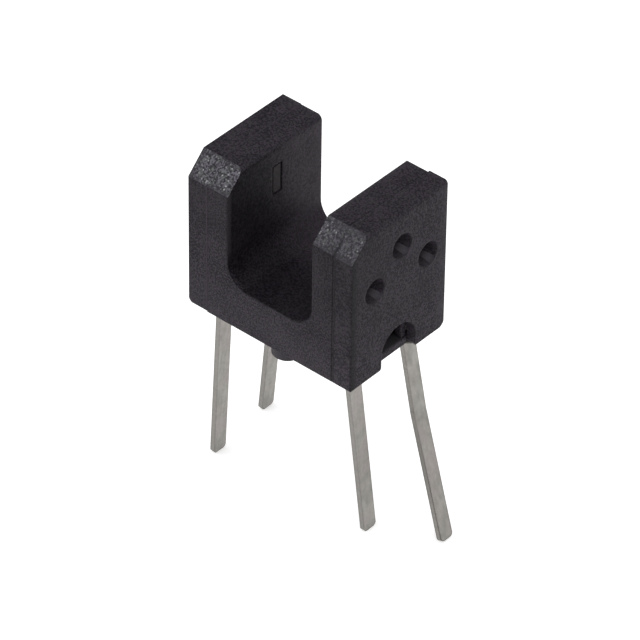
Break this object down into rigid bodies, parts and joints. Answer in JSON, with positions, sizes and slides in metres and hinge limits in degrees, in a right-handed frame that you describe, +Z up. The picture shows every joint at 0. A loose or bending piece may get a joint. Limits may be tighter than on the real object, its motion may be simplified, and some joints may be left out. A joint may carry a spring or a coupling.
{
  "type": "slotted optical switch",
  "caption": "U-shaped through-hole optical switch: an infrared diode and a phototransistor face each other through slits across an open gap.",
  "frame": {"origin": "centre of the lead pattern on the surface of the circuit board, which is the housing's flat underside", "axes": "+X across the gap from the emitter to the detector, +Y from the chamfered face to the plain face, +Z up away from the board"},
  "size_m": [0.0127, 0.0064, 0.018],
  "materials": {
    "housing_plastic": "black moulded, fine matt grain, sparkling rough chamfers",
    "cover_plastic": "black moulded, fine matt grain",
    "dark_epoxy": "infrared-pass epoxy, nearly black",
    "tinned_lead": "matt tin plate",
    "semiconductor": "polished chip",
    "gold": "drawn gold wire"
  },
  "bodies": {
    "root": {"housing": "housing_plastic", "emitter_cover": "cover_plastic", "detector_cover": "cover_plastic", "emitter_package": "dark_epoxy", "detector_package": "dark_epoxy", "anode_lead": "tinned_lead", "cathode_lead": "tinned_lead", "collector_lead": "tinned_lead", "emitter_lead": "tinned_lead", "led_chip": "semiconductor", "phototransistor_chip": "semiconductor", "led_bond_wire": "gold", "phototransistor_bond_wire": "gold"}
  },
  "joints": []
}
